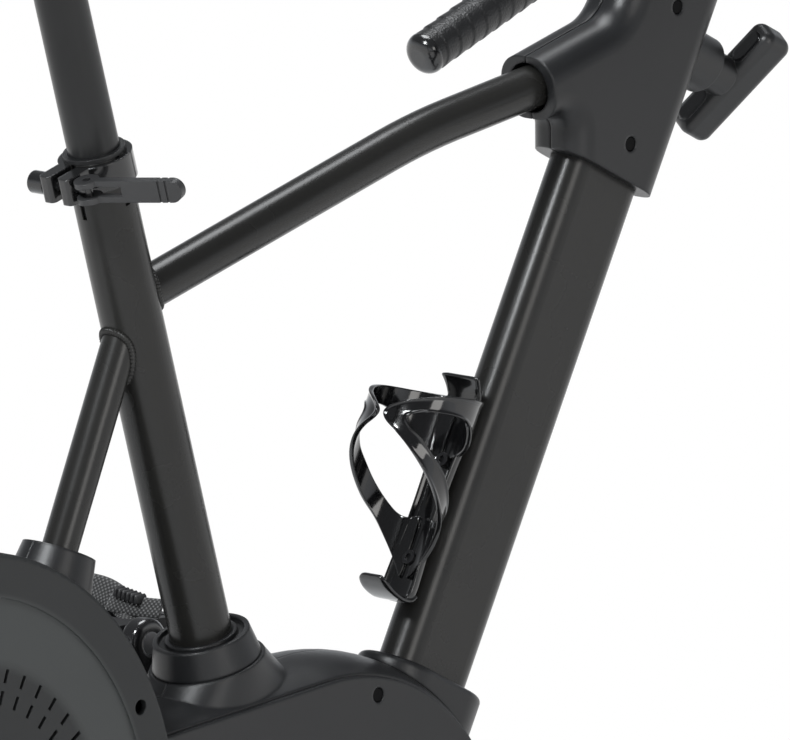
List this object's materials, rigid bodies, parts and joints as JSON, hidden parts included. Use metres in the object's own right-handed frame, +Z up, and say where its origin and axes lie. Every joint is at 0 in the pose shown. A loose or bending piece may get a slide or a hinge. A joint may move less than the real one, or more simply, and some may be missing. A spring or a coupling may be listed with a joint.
{
  "type": "exercise bike",
  "caption": "Indoor exercise bike with an enclosed belt-driven rear flywheel, sliding saddle and handlebar posts, taped drop bar, bottle cage and a floor base with transport wheels.",
  "frame": {"origin": "on the floor under the bottom bracket, at the middle of the base", "axes": "+X forward, +Y to the rider's left, +Z up"},
  "size_m": [1.16, 0.55, 1.0104],
  "materials": {
    "frame_paint": "satin black powder coat",
    "post_paint": "satin black",
    "housing_plastic": "fine-grained charcoal",
    "disc_plastic": "fine-grained dark grey",
    "gloss_black": "gloss black",
    "handle_plastic": "satin charcoal",
    "black_alloy": "satin black anodised",
    "fastener_steel": "black oxide",
    "bare_steel": "ground steel",
    "wheel_iron": "turned iron",
    "bracket_alloy": "plain",
    "grip_tape": "matt black wrap",
    "saddle_cover": "matt black cover",
    "pedal_plastic": "black moulded",
    "strap_web": "black webbing",
    "belt_rubber": "matt black",
    "foot_rubber": "matt black",
    "caster_rubber": "matt black"
  },
  "bodies": {
    "frame": {"seat_tube": "frame_paint", "top_tube": "frame_paint", "rear_stay": "frame_paint", "front_post": "frame_paint", "bb_bracket": "frame_paint", "rear_hub": "frame_paint", "rear_leg": "frame_paint", "drive_bearings": "bare_steel", "stabilizers": "frame_paint", "base_beam": "frame_paint", "foot_caps": "foot_rubber", "housing_right": "housing_plastic", "housing_left": "housing_plastic", "side_panels": "housing_plastic", "disc_covers": "disc_plastic", "cover_screws": "fastener_steel", "seat_tube_collar": "housing_plastic", "post_collar": "housing_plastic", "head_shroud_right": "housing_plastic", "head_shroud_left": "housing_plastic", "bottle_cage": "gloss_black", "cage_bolts": "fastener_steel", "seat_clamp_band": "black_alloy", "seat_clamp_bolt": "fastener_steel", "post_bushings": "handle_plastic", "clamp_boss": "handle_plastic", "drive_belt": "belt_rubber", "eddy_brake": "bracket_alloy"},
    "wheel_left": {"transport_wheel_left": "caster_rubber"},
    "wheel_right": {"transport_wheel_right": "caster_rubber"},
    "seat_lever": {"seat_clamp_lever": "black_alloy"},
    "seat_mast": {"seat_post": "post_paint", "saddle_clamp_base": "black_alloy", "saddle_clamp_cap": "black_alloy"},
    "saddle": {"saddle_rails": "fastener_steel", "saddle_shell": "handle_plastic", "saddle_pad": "saddle_cover"},
    "front_handle": {"clamp_handle": "handle_plastic", "clamp_handle_inlays": "gloss_black"},
    "handlebar": {"handlebar_post": "post_paint", "stem": "black_alloy", "stem_faceplate": "black_alloy", "stem_bolts": "fastener_steel", "drop_bar": "black_alloy", "bar_tape": "grip_tape", "bar_end_plugs": "handle_plastic"},
    "flywheel_set": {"flywheel": "wheel_iron", "pulley_shaft": "bare_steel"},
    "crankset": {"crank_right": "black_alloy", "crank_left": "black_alloy", "drive_pulley": "black_alloy", "pedal_axles": "fastener_steel"},
    "pedal_set_left": {"pedal_left": "pedal_plastic", "toe_strap_left": "strap_web"},
    "pedal_set_right": {"pedal_right": "pedal_plastic", "toe_strap_right": "strap_web"}
  },
  "joints": [
    {"name": "flywheel_spin", "type": "hinge", "parent": "frame", "child": "flywheel_set", "pos_m": [-0.34, 0, 0.372], "axis": [0, 1, 0], "continuous": true},
    {"name": "crank_spin", "type": "hinge", "parent": "frame", "child": "crankset", "pos_m": [0, 0, 0.3], "axis": [0, 1, 0], "continuous": true},
    {"name": "pedal_left_spin", "type": "hinge", "parent": "crankset", "child": "pedal_set_left", "pos_m": [-0.07284, 0.12, 0.45692], "axis": [0, 1, 0], "continuous": true},
    {"name": "pedal_right_spin", "type": "hinge", "parent": "crankset", "child": "pedal_set_right", "pos_m": [0.07284, -0.12, 0.14308], "axis": [0, 1, 0], "continuous": true},
    {"name": "seat_post_slide", "type": "slide", "parent": "frame", "child": "seat_mast", "axis": [-0.284, 0, 0.9588], "range_m": [-0.11, 0.07]},
    {"name": "saddle_slide", "type": "slide", "parent": "seat_mast", "child": "saddle", "axis": [1, 0, 0], "range_m": [-0.02, 0.02]},
    {"name": "seat_lever_swing", "type": "hinge", "parent": "frame", "child": "seat_lever", "pos_m": [-0.20395, -0.0208, 0.76119], "axis": [-0.284, 0, 0.9588], "range_deg": [-75, 45]},
    {"name": "handlebar_slide", "type": "slide", "parent": "frame", "child": "handlebar", "axis": [0.4617, 0, 0.887], "range_m": [-0.012, 0.06]},
    {"name": "front_handle_turn", "type": "hinge", "parent": "frame", "child": "front_handle", "pos_m": [0.36464, 0, 0.76378], "axis": [0.887, 0, -0.4617], "range_deg": [-90, 90]},
    {"name": "wheel_left_spin", "type": "hinge", "parent": "frame", "child": "wheel_left", "pos_m": [0.552, 0.2, 0.032], "axis": [0, 1, 0], "continuous": true},
    {"name": "wheel_right_spin", "type": "hinge", "parent": "frame", "child": "wheel_right", "pos_m": [0.552, -0.2, 0.032], "axis": [0, 1, 0], "continuous": true}
  ],
  "couplings": [
    {"joint": "crank_spin", "follows": "flywheel_spin", "ratio": 0.3}
  ]
}
